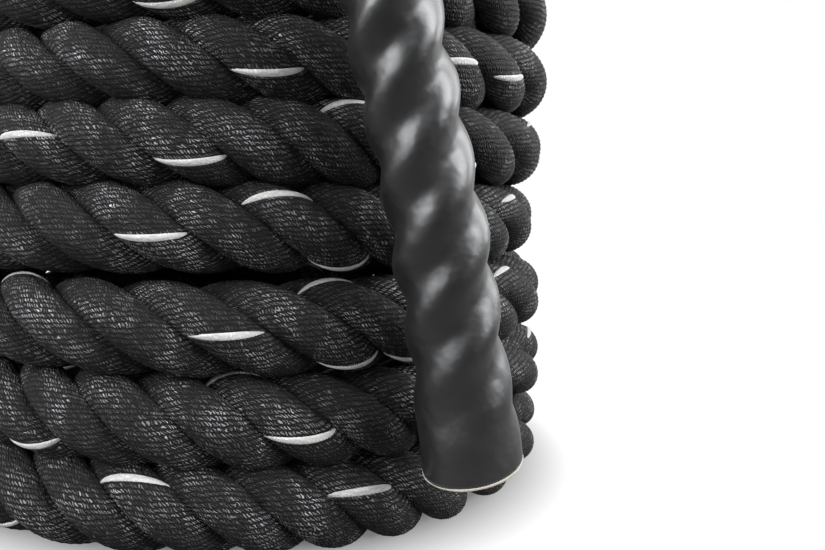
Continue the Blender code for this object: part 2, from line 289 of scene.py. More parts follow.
@dataclass
class Route:
    """The rope's centreline, from the cut at its bottom end to the cut at its top end.

    The frame at each station is the direction of the rope and an outward direction across
    it, which points away from the coil's axis in the turns.
    """

    axis: tuple[float, float] = (0.0, 0.0)
    radius: float = 0.1718
    first_height: float = 0.014294
    pitch: float = 0.0385
    turns: int = 10
    start_azimuth: float = -120.0
    leave_azimuth: float = -45.0
    climb_arc: float = 120.0
    resting_height: float = 0.0205
    resting_softness: float = 0.0012
    straight_shares: tuple[float, ...] = (1.0, 1.5)
    drop_length: float = 0.24
    wound_per_degree: int = 3
    step: float = 0.001
    cut_recess: float = 0.0045

    points: np.ndarray = field(init=False)
    along: np.ndarray = field(init=False)
    directions: np.ndarray = field(init=False)
    outwards: np.ndarray = field(init=False)
    coil_span: tuple[float, float] = field(init=False)

    def __post_init__(self) -> None:
        """Joins the three stretches and sets the frames along them."""
        bottom = self.free_end(self.start_azimuth, -1, BOTTOM_ROUTE_SHARES)
        top = self.free_end(self.leave_azimuth, 1, TOP_ROUTE_SHARES)
        wound = self.wound()
        settled = wound[-1, 2] - top[0, 2]
        top[:, 2] += settled * (1 - eased(0, self.drop_length, distances(top)))
        raw = np.concatenate([bottom[::-1], wound[1:-1], top])
        raw[:, 2] = self.resting(raw[:, 2])
        raw[:, 0] += self.axis[0]
        raw[:, 1] += self.axis[1]
        knots = distances(raw)
        count = round(knots[-1] / self.step)
        self.along = np.linspace(0, knots[-1], count + 1)
        self.points = np.column_stack([np.interp(self.along, knots, raw[:, a]) for a in range(3)])
        self.points = self.evened(self.points)
        self.coil_span = (
            float(np.interp(len(bottom) - 1, range(len(knots)), knots)),
            float(np.interp(len(raw) - len(top), range(len(knots)), knots)),
        )
        self.directions = unit(np.gradient(self.points, axis=0))
        self.outwards = self.carried_frames()

    def evened(self, points: np.ndarray, passes: int = 12) -> np.ndarray:
        """The run with its smallest kinks averaged out.

        Args:
            points: The run.
            passes: How many times each point moves towards the middle of its neighbours.

        Returns:
            The evened run, with as many points.
        """
        for _ in range(passes):
            points = points.copy()
            points[1:-1] = (points[:-2] + 2 * points[1:-1] + points[2:]) / 4
        return points

    def turn_height(self, azimuth: float) -> float:
        """Height of the rope's centre in a coil that lies even.

        Args:
            azimuth: The azimuth, counted on through the turns.

        Returns:
            The height. Each turn lies level, and then climbs to the next.
        """
        wound = azimuth - self.start_azimuth
        level = math.floor(wound / CIRCLE)
        climbed = max(0, (wound % CIRCLE - (CIRCLE - self.climb_arc)) / self.climb_arc)
        share = (1 - math.cos(math.pi * climbed)) / 2
        return self.first_height + self.pitch * (level + math.sin(math.pi / 2 * share))

    def resting(self, heights: np.ndarray) -> np.ndarray:
        """The heights, none of them so low that the rope is in the floor."""
        above = heights - self.resting_height
        return self.resting_height + (above + np.sqrt(above**2 + self.resting_softness**2)) / 2

    def drift(self, azimuths: np.ndarray) -> np.ndarray:
        """How far out and up the wound rope sits out of an even coil.

        Args:
            azimuths: Azimuths, counted on through the turns.

        Returns:
            A row for each azimuth, in metres.
        """
        knots = np.array([CIRCLE * turn + azimuth for turn, azimuth, _, _ in WINDING_DRIFT])
        rows = np.array([(out / MILLIMETRES, up / MILLIMETRES) for _, _, out, up in WINDING_DRIFT])
        return spline(rows, knots, azimuths)

    def twist(self, azimuths: np.ndarray) -> np.ndarray:
        """How far the strands are twisted on beyond their even lay.

        Args:
            azimuths: Azimuths, counted on through the turns.

        Returns:
            An angle for each azimuth, in radians.
        """
        knots = np.array([CIRCLE * turn + azimuth for turn, azimuth, _ in STRAND_TWIST])
        rows = np.array([[math.radians(twist)] for _, _, twist in STRAND_TWIST])
        return spline(rows, knots, azimuths)[:, 0]

    def wound(self) -> np.ndarray:
        """The centreline of the turns, each lying a little out of line with the next.

        Returns:
            Points along the turns, from the bottom up.
        """
        last = self.last_azimuth()
        count = round((last - self.start_azimuth) * self.wound_per_degree)
        azimuths = np.linspace(self.start_azimuth, last, count)
        drift = self.drift(azimuths)
        return np.array(
            [
                around(azimuth, self.radius + out, self.turn_height(azimuth) + up)
                for azimuth, (out, up) in zip(azimuths, drift)
            ]
        )

    def free_end(self, azimuth: float, way: int, shares: tuple) -> np.ndarray:
        """A free end's centreline from the turn that it leaves.

        Args:
            azimuth: Where the end leaves the turn.
            way: 1 where the end leads on up the winding, and -1 where it leads back.
            shares: The end's listed points, as the CAD has them.

        Returns:
            Points along the end, from the turn to the cut.
        """
        last = self.last_azimuth()
        level = self.turn_height(last if way > 0 else self.start_azimuth)
        start = around(azimuth, self.radius, level)
        ahead = way * ROPE_DIAMETER * onwards(azimuth)
        route = [start, *(start + share * ahead for share in self.straight_shares)]
        for degrees, out, up in shares:
            reach, height = self.radius + out * ROPE_DIAMETER, level + up * ROPE_DIAMETER
            route.append(around(azimuth + degrees, reach, height))
        points = np.array(route)
        knots = distances(points)
        wanted = np.linspace(0, knots[-1], round(knots[-1] / self.step) + 1)
        return spline(points, knots, wanted)

    def carried_frames(self) -> np.ndarray:
        """The outward direction at each station.

        Returns:
            A row for each station: radial in the turns, and carried on past them without twist.
        """
        low, high = (int(np.searchsorted(self.along, place)) for place in self.coil_span)
        centre = np.array([self.axis[0], self.axis[1], 0])
        outwards = self.points - centre
        outwards[:, 2] = 0
        outwards -= np.sum(outwards * self.directions, axis=1)[:, None] * self.directions
        outwards = unit(outwards)
        for stations, behind in ((range(low - 1, -1, -1), 1), (range(high + 1, len(outwards)), -1)):
            for i in stations:
                carried = outwards[i + behind]
                carried = carried - carried.dot(self.directions[i]) * self.directions[i]
                outwards[i] = carried / np.linalg.norm(carried)
        return outwards

    def last_azimuth(self) -> float:
        """Where the top end leaves the coil, counted on through the turns."""
        return self.leave_azimuth + CIRCLE * self.turns

    def azimuths(self) -> np.ndarray:
        """Where each station lies round the coil's axis.

        Returns:
            The stations' azimuths, counted on through the turns.
        """
        across = self.points - np.array([self.axis[0], self.axis[1], 0])
        azimuths = np.degrees(np.unwrap(np.arctan2(across[:, 0], -across[:, 1])))
        first = int(np.searchsorted(self.along, self.coil_span[0]))
        return azimuths + self.start_azimuth - azimuths[first]

    def length(self) -> float:
        """The rope's whole length along its centre."""
        return float(self.along[-1])

    def sample(self, places: np.ndarray) -> tuple[np.ndarray, np.ndarray, np.ndarray, np.ndarray]:
        """The centreline and its frame at these places.

        Args:
            places: Distances along the rope from its bottom end.

        Returns:
            Centres, directions, outward directions and the directions across both.
        """
        columns = []
        for rows in (self.points, self.directions, self.outwards):
            columns.append(
                np.column_stack([np.interp(places, self.along, rows[:, a]) for a in range(3)])
            )
        centres, directions, outwards = columns[0], unit(columns[1]), columns[2]
        outwards = outwards - np.sum(outwards * directions, axis=1)[:, None] * directions
        outwards = unit(outwards)
        return centres, directions, outwards, np.cross(directions, outwards)

    def to_end(self, places: np.ndarray) -> np.ndarray:
        """How far each place is from the nearer cut end."""
        return np.minimum(places, self.length() - places)


@dataclass
class Lay:
    """How the strands and their yarns twist along the rope.

    Each of wander_waves is a pace and a share.
    """

    route: Route
    lays_per_turn: float = 35 / 3
    rope_lay: float = 0.0925
    sleeve_lay: float = 0.0845
    side_slack: float = 0.42
    side_sector: tuple[float, float] = (41.0, 81.0)
    back_sector: tuple[float, float] = (110.0, 310.0)
    sector_edge: float = 10.0
    grip_twist: float = -42.0
    strand_centre: float = 0.0109
    strand_radius: float = 0.0090
    strand_width: float = 1.11
    squeezed_share: float = 0.0168 / 0.0195
    taped_share: float = 0.0132 / 0.0195
    squeeze_length: float = 0.03
    tape_length: float = 0.043
    tape_edge: float = 0.008
    unevenness: float = 0.07
    unevenness_pace: float = 47.0
    fullness: float = 0.022
    fullness_pace: float = 31.0
    fullness_seed: int = 5
    wander_waves: tuple[tuple[float, float], ...] = ((1.0, 0.5), (1.618, 0.3), (2.71, 0.2))
    wander_seed_step: float = 2.4
    wander_pace_step: float = 5.1
    yarns: int = 22
    yarn_turns: float = -2.6
    first_phase: float = -1.117

    def phase(self, places: np.ndarray) -> np.ndarray:
        """The angle of the first strand round the rope, from outward.

        Args:
            places: Distances along the rope.

        Returns:
            An angle for each place, counted on along the rope.
        """
        route = self.route
        step = route.along[1] - route.along[0]
        azimuths = route.azimuths()
        inside = (route.along >= route.coil_span[0]) & (route.along <= route.coil_span[1])
        to_end = route.to_end(route.along)
        covered = 1 - eased(SLEEVE_LENGTH, SLEEVE_LENGTH + self.squeeze_length, to_end)
        free_lay = self.rope_lay + covered * (self.sleeve_lay - self.rope_lay)
        winding = np.gradient(azimuths) * self.lays_per_turn / CIRCLE * self.tightness(azimuths)
        rate = np.where(inside, winding, step / free_lay)
        turned = np.concatenate([[0], np.cumsum((rate[1:] + rate[:-1]) / 2)])
        twist = route.twist(np.clip(azimuths, route.start_azimuth, route.last_azimuth()))
        past_coil = eased(route.coil_span[1], route.length() - SLEEVE_LENGTH, route.along)
        twist = twist + math.radians(self.grip_twist) * past_coil
        phase = math.tau * turned + twist + self.first_phase
        return np.interp(places, route.along, phase)

    def tightness(self, azimuths: np.ndarray) -> np.ndarray:
        """The share of the usual twist round the coil: slacker at one side, tighter behind.

        Args:
            azimuths: Azimuths, counted on through the turns.

        Returns:
            A share for each azimuth, which comes to 1 over a whole turn.
        """
        local = azimuths % CIRCLE
        edge = self.sector_edge
        shares = []
        for low, high in (self.side_sector, self.back_sector):
            entered = eased(low - edge, low + edge, local)
            shares.append(entered * (1 - eased(high - edge, high + edge, local)))
        widths = [high - low for low, high in (self.side_sector, self.back_sector)]
        return 1 - self.side_slack * (shares[0] - shares[1] * widths[0] / widths[1])

    def squeeze(self, places: np.ndarray) -> np.ndarray:
        """The share of the full section that the rope keeps under its sleeves and tape.

        Args:
            places: Distances along the rope.

        Returns:
            A share for each place.
        """
        to_end = self.route.to_end(places)
        free = eased(SLEEVE_LENGTH, SLEEVE_LENGTH + self.squeeze_length, to_end)
        share = self.squeezed_share + (1 - self.squeezed_share) * free
        taped = 1 - eased(self.tape_length, self.tape_length + self.tape_edge, to_end)
        return share + (self.taped_share - self.squeezed_share) * taped

    def strand(self, places: np.ndarray, index: int) -> tuple[np.ndarray, ...]:
        """One strand's centreline and the frame of its section.

        Args:
            places: Distances along the rope.
            index: Which strand, from 0.

        Returns:
            Centres, outward directions, sideways directions and section scales.
        """
        centres, _, outwards, across = self.route.sample(places)
        angle = self.phase(places) + math.tau * index / STRANDS
        angle = angle + self.unevenness * self.wander(places, self.unevenness_pace, index)
        fuller = self.wander(places, self.fullness_pace, index + self.fullness_seed)
        scale = self.squeeze(places) * (1 + self.fullness * fuller)
        radial = np.cos(angle)[:, None] * outwards + np.sin(angle)[:, None] * across
        middles = centres + (self.strand_centre * scale)[:, None] * radial
        running = unit(np.gradient(middles, axis=0))
        radial = unit(radial - np.sum(radial * running, axis=1)[:, None] * running)
        return middles, radial, np.cross(running, radial), scale

    def wander(self, places: np.ndarray, rate: float, seed: int) -> np.ndarray:
        """A slow wander from -1 to 1 along the rope, different for each seed."""
        seed_step, pace_step = self.wander_seed_step, self.wander_pace_step
        return sum(
            share * np.sin(rate * pace * places + seed_step * seed + pace_step * pace)
            for pace, share in self.wander_waves
        )

    def yarn_angle(self, places: np.ndarray, yarn: np.ndarray) -> np.ndarray:
        """Angles of yarns round their strand, from the strand's outward direction."""
        turned = self.yarn_turns * (self.phase(places) - self.first_phase)
        return turned[:, None] + math.tau * yarn[None, :] / self.yarns


def mesh_object(
    name: str,
    vertices: np.ndarray,
    quads: np.ndarray,
    finish: bpy.types.Material,
    uv: dict[str, np.ndarray] | None = None,
    caps: list[list[int]] | None = None,
) -> bpy.types.Object:
    """A smooth-shaded object from arrays.

    Args:
        name: The piece's name.
        vertices: One row for each vertex.
        quads: One row of four vertex numbers for each face.
        finish: The material of every face.
        uv: UV maps by name, one row for each quad corner.
        caps: Extra faces, each a list of vertex numbers.

    Returns:
        The object, linked to the scene.
    """
    mesh = bpy.data.meshes.new(name)
    caps = caps or []
    loops = np.concatenate([quads.ravel(), *[np.array(cap, int) for cap in caps]]).astype(np.int32)
    sizes = np.array([4] * len(quads) + [len(cap) for cap in caps], np.int32)
    mesh.vertices.add(len(vertices))
    mesh.vertices.foreach_set("co", vertices.astype(np.float32).ravel())
    mesh.loops.add(len(loops))
    mesh.loops.foreach_set("vertex_index", loops)
    mesh.polygons.add(len(sizes))
    starts = np.concatenate([[0], np.cumsum(sizes)[:-1]]).astype(np.int32)
    mesh.polygons.foreach_set("loop_start", starts)
    mesh.polygons.foreach_set("loop_total", sizes)
    mesh.polygons.foreach_set("use_smooth", np.ones(len(sizes), bool))
    for map_name, rows in (uv or {}).items():
        layer = mesh.uv_layers.new(name=map_name)
        filled = np.zeros((len(loops), 2), np.float32)
        filled[: len(rows)] = rows
        layer.data.foreach_set("uv", filled.ravel())
    mesh.materials.append(finish)
    mesh.update(calc_edges=True)
    mesh.validate()
    shape = bpy.data.objects.new(name, mesh)
    bpy.context.scene.collection.objects.link(shape)
    return shape


def tube_grid(rings: int, sides: int) -> tuple[np.ndarray, np.ndarray]:
    """The ring and the side of each face of a tube."""
    ring, side = np.meshgrid(np.arange(rings - 1), np.arange(sides), indexing="ij")
    return ring, side


def ring_quads(rings: int, sides: int, first: int = 0) -> np.ndarray:
    """The faces of a tube of rings, each of them closed.

    Args:
        rings: How many rings the tube has.
        sides: How many vertices each ring has.
        first: The number of the first ring's first vertex.

    Returns:
        One row of four vertex numbers for each face, ring by ring.
    """
    ring, side = tube_grid(rings, sides)
    here = first + ring * sides + side
    beside = first + ring * sides + (side + 1) % sides
    return np.stack([here, beside, beside + sides, here + sides], axis=-1).reshape(-1, 4)


def closed_quads(rings: int, sides: int) -> np.ndarray:
    """The faces of a tube of rings whose last ring joins its first.

    Args:
        rings: How many rings the tube has.
        sides: How many vertices each ring has.

    Returns:
        One row of four vertex numbers for each face.
    """
    side = np.arange(sides)
    beside = (side + 1) % sides
    last = (rings - 1) * sides
    closing = np.stack([last + side, last + beside, beside, side], axis=-1)
    return np.concatenate([ring_quads(rings, sides), closing])


def tube_caps(rings: int, sides: int, first: int) -> list[list[int]]:
    """The two end faces of a tube of rings, from the number of its first vertex."""
    last = first + (rings - 1) * sides
    return [list(range(first + sides - 1, first - 1, -1)), list(range(last, last + sides))]


def corner_rows(*corners: tuple[np.ndarray, np.ndarray]) -> np.ndarray:
    """A UV map's rows, from the U and the V of each face's four corners."""
    return np.stack([np.stack(corner, axis=-1) for corner in corners], axis=2).reshape(-1, 2)


class Graph:
    """A shorthand for building the nodes of a material, a world or a group."""

    def __init__(self, tree: bpy.types.NodeTree) -> None:
        """Starts on an empty tree."""
        self.tree = tree
        self.tree.nodes.clear()

    def feed(self, node: bpy.types.Node, values: dict[str | int, Feed]) -> None:
        """Sets or links a node's inputs.

        Args:
            node: The node.
            values: Values or links, by the input's name or number.
        """
        for socket, value in values.items():
            if isinstance(value, bpy.types.NodeSocket):
                self.tree.links.new(value, node.inputs[socket])
            else:
                node.inputs[socket].default_value = value

    def add(
        self, kind: str, values: dict[str | int, Feed] | None = None, **settings: object
    ) -> bpy.types.Node:
        """Adds a node.

        Args:
            kind: The node's type name.
            values: Values or links, by the input's name or number.
            settings: The node's own settings.

        Returns:
            The new node.
        """
        node = self.tree.nodes.new(kind)
        for name, value in settings.items():
            setattr(node, name, value)
        self.feed(node, values or {})
        return node

    def place(self, tree: bpy.types.NodeTree, **values: float) -> bpy.types.Node:
        """Places a node group with its own values."""
        return self.add("ShaderNodeGroup", values, node_tree=tree)

    def math(self, operation: str, *values: Feed) -> bpy.types.NodeSocket:
        """The result of one arithmetic step on values or links."""
        return self.add("ShaderNodeMath", dict(enumerate(values)), operation=operation).outputs[0]

    def ramp(
        self, value: Feed, low: Feed, high: Feed, start: float = 0, end: float = 1
    ) -> bpy.types.NodeSocket:
        """A value carried smoothly from the range low to high onto start to end."""
        values = {0: value, 1: low, 2: high, 3: start, 4: end}
        return self.add("ShaderNodeMapRange", values, interpolation_type="SMOOTHSTEP").outputs[0]

    def mix(self, share: Feed, dark: Feed, light: Feed) -> bpy.types.NodeSocket:
        """A colour between two, by a share."""
        values = {0: share, 6: dark, 7: light}
        return self.add("ShaderNodeMix", values, data_type="RGBA", clamp_factor=True).outputs[2]

    def noise(
        self, vector: Feed, scale: Feed, detail: float = 2, roughness: float = 0.5
    ) -> bpy.types.NodeSocket:
        """The value of a noise texture."""
        values = {"Vector": vector, "Scale": scale, "Detail": detail, "Roughness": roughness}
        return self.add("ShaderNodeTexNoise", values).outputs["Fac"]

    def bump(self, strength: float, distance: float, height: Feed) -> bpy.types.NodeSocket:
        """The normal of a surface with this height on it."""
        values = {"Strength": strength, "Distance": distance, "Height": height}
        return self.add("ShaderNodeBump", values).outputs[0]

    def surface(self, values: dict[str | int, Feed]) -> None:
        """Ends a material in one Principled shader."""
        shader = self.add("ShaderNodeBsdfPrincipled", values)
        self.add("ShaderNodeOutputMaterial", {"Surface": shader.outputs[0]})


def new_material(name: str) -> tuple[bpy.types.Material, Graph]:
    """An empty material and its graph.

    Args:
        name: The material's name.

    Returns:
        The material and its graph.
    """
    material = bpy.data.materials.new(name)
    material.use_nodes = True
    return material, Graph(material.node_tree)


def new_group(name: str, inputs: dict[str, float], outputs: tuple[str, ...]) -> tuple:
    """An empty node group with named sockets.

    Args:
        name: The group's name.
        inputs: Each input's name and value at first.
        outputs: Each output's name.

    Returns:
        The group, its graph, its input node and its output node.
    """
    tree = bpy.data.node_groups.new(name, "ShaderNodeTree")
    graph = Graph(tree)
    for socket, value in inputs.items():
        made = tree.interface.new_socket(socket, in_out="INPUT", socket_type="NodeSocketFloat")
        made.default_value = value
    for socket in outputs:
        tree.interface.new_socket(socket, in_out="OUTPUT", socket_type="NodeSocketFloat")
    return tree, graph, graph.add("NodeGroupInput"), graph.add("NodeGroupOutput")


def opaque(colour: Triple) -> tuple[float, float, float, float]:
    """A colour with full alpha."""
    return (*colour, 1.0)


@dataclass
class SharedEffects:
    """The node groups that more than one finish uses, each built once.

    bundle_edge is where the mask rises across a bundle, and chance_caught is the ramp from a
    bundle's chance to how bright its painted glint is.
    """

    stray_scale: float = 260
    wobble_scale: float = 700
    yarn_step: float = 0.618
    bundle_roundness: float = 0.5
    bundle_edge: tuple[float, float] = (0.6, 0.86)
    chance_caught: tuple[float, ...] = (0.0, 0.95, 0.12, 1.0)
    patch_middle: float = 0.55
    patch_reach: float = 0.4
    patch_detail: float = 3
    patch_roughness: float = 0.55
    grain_scale: float = 2600
    grain_roughness: float = 0.6

    ply: bpy.types.NodeTree = field(init=False)
    wear_and_glint_patches: bpy.types.NodeTree = field(init=False)

    def __post_init__(self) -> None:
        """Builds the groups."""
        self.ply = self.build_ply()
        self.wear_and_glint_patches = self.build_wear_and_glint_patches()

    def build_ply(self) -> bpy.types.NodeTree:
        """Slanted filament bundles on a yarn, from the yarn number and the length along it.

        Returns:
            The group. It puts out the yarn's crown, which places the painted shade between yarns,
            the bundles' height and their mask, which places the painted glints.
        """
        inputs = {"Slant": 1.0, "Bundles": 600.0, "Unevenness": 0.5}
        tree, graph, given, out = new_group("yarn_ply", inputs, ("Crown", "Height", "Mask"))
        lay = graph.add("ShaderNodeUVMap", uv_map=LAY_MAP).outputs[0]
        across, length, _ = graph.add("ShaderNodeSeparateXYZ", {0: lay}).outputs
        place = graph.add("ShaderNodeNewGeometry").outputs["Position"]
        stray = graph.math("SUBTRACT", graph.noise(place, self.stray_scale, 1), 0.5)
        yarn = graph.math("ADD", across, stray)
        within = graph.math("FRACT", yarn)
        number = graph.math("FLOOR", yarn)
        crown = graph.math("SINE", graph.math("MULTIPLY", within, math.pi))
        wobble = graph.noise(place, self.wobble_scale, 1)
        slid = graph.math("MULTIPLY", given.outputs["Slant"], within)
        slid = graph.math("ADD", slid, graph.math("MULTIPLY", wobble, given.outputs["Unevenness"]))
        beats = graph.math("MULTIPLY", length, given.outputs["Bundles"])
        beats = graph.math("ADD", beats, graph.math("MULTIPLY", number, self.yarn_step))
        beats = graph.math("ADD", beats, slid)
        cell = graph.add("ShaderNodeCombineXYZ", {0: number, 1: graph.math("FLOOR", beats)})
        chance = graph.add("ShaderNodeTexWhiteNoise", {"Vector": cell.outputs[0]}).outputs["Value"]
        stripe = graph.math("SINE", graph.math("MULTIPLY", graph.math("FRACT", beats), math.pi))
        height = graph.math("MULTIPLY", stripe, graph.math("POWER", crown, self.bundle_roundness))
        # By chance some bundles get a painted glint: the mask is where the pale colour goes.
        glint_share = graph.ramp(chance, *self.chance_caught)
        mask = graph.math("MULTIPLY", graph.ramp(height, *self.bundle_edge), glint_share)
        graph.feed(out, {"Crown": crown, "Height": height, "Mask": mask})
        return tree

    def build_wear_and_glint_patches(self) -> bpy.types.NodeTree:
        """Soft patches of wear and dust on film and tape, and of brighter painted glints on the
        yarn, from where a point lies.

        Returns:
            The group. It puts out the patches and a fine grain.
        """
        inputs = {"Scale": 40.0, "Spread": 0.5}
        tree, graph, given, out = new_group("wear_and_glint_patches", inputs, ("Patches", "Grain"))
        place = graph.add("ShaderNodeNewGeometry").outputs["Position"]
        broad = graph.noise(place, given.outputs["Scale"], self.patch_detail, self.patch_roughness)
        reach = graph.math("MULTIPLY", given.outputs["Spread"], self.patch_reach)
        low = graph.math("SUBTRACT", self.patch_middle, reach)
        high = graph.math("ADD", self.patch_middle, reach)
        grain = graph.noise(place, self.grain_scale, roughness=self.grain_roughness)
        graph.feed(out, {"Patches": graph.ramp(broad, low, high), "Grain": grain})
        return tree


@dataclass(frozen=True)
class YarnFinish:
    """Twisted polyester yarn, with painted shade in its valleys and painted glints on slanted
    filament bundles.
    """

    name: str
    painted_valley_shade: Triple
    body: Triple
    painted_glint: Triple
    roughness: float
    shine: float
    bump: float
    bundles: float
    slant: float
    unevenness: float = 1.1
    patch_scale: float = 60
    patch_spread: float = 0.45
    patch_caught: tuple[float, float] = (0.12, 0.95)
    fleck_polish: float = 0.12
    grain_share: float = 0.25
    bump_strength: float = 0.9
    specular: float = 0.2

    def build(self, effects: SharedEffects) -> bpy.types.Material:
        """Makes the material.

        Args:
            effects: The shared node groups.

        Returns:
            The finished material.
        """
        material, graph = new_material(self.name)
        ply = graph.place(
            effects.ply, Slant=self.slant, Bundles=self.bundles, Unevenness=self.unevenness
        )
        wear_and_glint_patches = graph.place(effects.wear_and_glint_patches, Scale=self.patch_scale, Spread=self.patch_spread)
        # The base is darker towards each yarn's edges than on its crown: painted shade between the
        # yarns.
        base = graph.mix(ply.outputs["Crown"], opaque(self.painted_valley_shade), opaque(self.body))
        # Painted glints: the pale colour goes on the masked bundles, brighter in some patches.
        glint_share = graph.ramp(wear_and_glint_patches.outputs["Patches"], 0, 1, *self.patch_caught)
        glint_flecks = graph.math("MULTIPLY", ply.outputs["Mask"], glint_share)
        grain = graph.math("MULTIPLY", wear_and_glint_patches.outputs["Grain"], self.grain_share)
        height = graph.math("ADD", ply.outputs["Height"], grain)
        dull, polished = self.roughness + self.fleck_polish, self.roughness - self.fleck_polish
        values = {
            "Base Color": graph.mix(glint_flecks, base, opaque(self.painted_glint)),
            "Roughness": graph.ramp(glint_flecks, 0, 1, dull, polished),
            "Normal": graph.bump(self.bump_strength, self.bump, height),
            "Specular IOR Level": self.specular,
        }
        if self.shine:
            values["Metallic"] = graph.math("MULTIPLY", glint_flecks, self.shine)
        graph.surface(values)
        return material


@dataclass(frozen=True)
class SleeveFinish:
    """Heat-shrunk plastic film: glossy, faintly rippled and worn in patches where it was held."""

    name: str
    colour: Triple
    worn: Triple
    roughness: float
    specular: float
    tint: Triple
    coat: float
    coat_roughness: float
    ripple: float
    ripple_scale: float = 115
    ripple_roughness: float = 0.4
    patch_scale: float = 60
    patch_spread: float = 0.5
    worn_share: float = 0.5
    worn_roughness: float = 0.07
    grain_share: float = 0.04
    bump_strength: float = 0.5

    def build(self, effects: SharedEffects) -> bpy.types.Material:
        """Makes the material.

        Args:
            effects: The shared node groups.

        Returns:
            The finished material.
        """
        material, graph = new_material(self.name)
        wear_and_glint_patches = graph.place(effects.wear_and_glint_patches, Scale=self.patch_scale, Spread=self.patch_spread)
        patches = wear_and_glint_patches.outputs["Patches"]
        worn = graph.math("MULTIPLY", patches, self.worn_share)
        place = graph.add("ShaderNodeNewGeometry").outputs["Position"]
        ripples = graph.noise(place, self.ripple_scale, roughness=self.ripple_roughness)
        grain = graph.math("MULTIPLY", wear_and_glint_patches.outputs["Grain"], self.grain_share)
        height = graph.math("ADD", ripples, grain)
        dull = self.roughness + self.worn_roughness
        graph.surface(
            {
                "Base Color": graph.mix(worn, opaque(self.colour), opaque(self.worn)),
                "Roughness": graph.ramp(patches, 0, 1, self.roughness, dull),
                "Normal": graph.bump(self.bump_strength, self.ripple, height),
                "Specular IOR Level": self.specular,
                "Specular Tint": opaque(self.tint),
                "Coat Weight": self.coat,
                "Coat Roughness": self.coat_roughness,
            }
        )
        return material


@dataclass(frozen=True)
class PlainFinish:
    """A matt finish with marks of wear: tape, or the pale ring at a sleeve's rim."""

    name: str
    colour: Triple
    worn: Triple
    roughness: float
    bump: float
    patch_scale: float = 220
    patch_spread: float = 0.7
    grain_range: tuple[float, float] = (0.3, 0.7)
    roughness_reach: float = 0.06
    bump_strength: float = 0.6

    def build(self, effects: SharedEffects) -> bpy.types.Material:
        """Makes the material.

        Args:
            effects: The shared node groups.

        Returns:
            The finished material.
        """
        material, graph = new_material(self.name)
        wear_and_glint_patches = graph.place(effects.wear_and_glint_patches, Scale=self.patch_scale, Spread=self.patch_spread)
        grain = wear_and_glint_patches.outputs["Grain"]
        low, high = self.roughness - self.roughness_reach, self.roughness + self.roughness_reach
        colour = graph.mix(wear_and_glint_patches.outputs["Patches"], opaque(self.colour), opaque(self.worn))
        graph.surface(
            {
                "Base Color": colour,
                "Roughness": graph.ramp(grain, *self.grain_range, low, high),
                "Normal": graph.bump(self.bump_strength, self.bump, grain),
            }
        )
        return material


# In both yarn finishes the darker edge colour is painted shade between the yarns, and the pale
# bundle colour is painted glints.
BLACK_YARN = YarnFinish(
    name="black_polyester",
    painted_valley_shade=(0.0098, 0.0094, 0.0093),
    body=(0.0118, 0.0113, 0.0112),
    painted_glint=(0.46, 0.46, 0.49),
    roughness=0.48,
    shine=0.6,
    bump=0.0006,
    bundles=840,
    slant=-2.6,
)
WHITE_YARN = YarnFinish(
    name="white_tracer",
    painted_valley_shade=(0.5, 0.5, 0.49),
    body=(0.68, 0.68, 0.67),
    painted_glint=(0.82, 0.82, 0.82),
    roughness=0.6,
    shine=0.0,
    bump=0.0003,
    bundles=700,
    slant=-1.0,
)
SHRINK_FILM = SleeveFinish(
    name="shrink_film",
    colour=(0.0078, 0.007, 0.0066),
    worn=(0.013, 0.0118, 0.0111),
    roughness=0.41,
    specular=1.0,
    tint=(0.93, 0.96, 1.0),
    coat=0.4,
    coat_roughness=0.27,
    ripple=0.0017,
)
PALE_RIM = PlainFinish(
    name="pale_rim",
    colour=(0.42, 0.39, 0.34),
    worn=(0.58, 0.55, 0.50),
    roughness=0.55,
    bump=0.0001,
)
CLOTH_TAPE = PlainFinish(
    name="cloth_tape",
    colour=(0.022, 0.022, 0.023),
    worn=(0.05, 0.05, 0.052),
    roughness=0.6,
    bump=0.0002,
)


